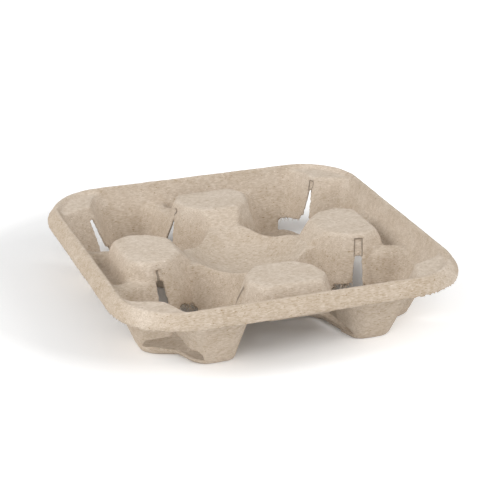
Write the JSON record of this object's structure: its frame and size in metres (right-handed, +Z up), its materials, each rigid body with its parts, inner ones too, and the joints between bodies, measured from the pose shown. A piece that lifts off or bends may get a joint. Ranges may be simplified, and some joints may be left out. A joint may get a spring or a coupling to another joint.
{
  "type": "cup carrier tray",
  "caption": "Square moulded-pulp tray with a rolled rim, a shallow centre dish and slotted wells that hold drink cups upright.",
  "frame": {"origin": "on the floor under the centre of the tray", "axes": "+Z up, out of the wells' mouths; +X to the right and +Y to the back, square to the tray's sides"},
  "size_m": [0.216, 0.216, 0.0428],
  "materials": {
    "moulded_pulp": "matt moulded paper pulp"
  },
  "bodies": {
    "root": {"carrier_tray": "moulded_pulp"}
  },
  "joints": []
}
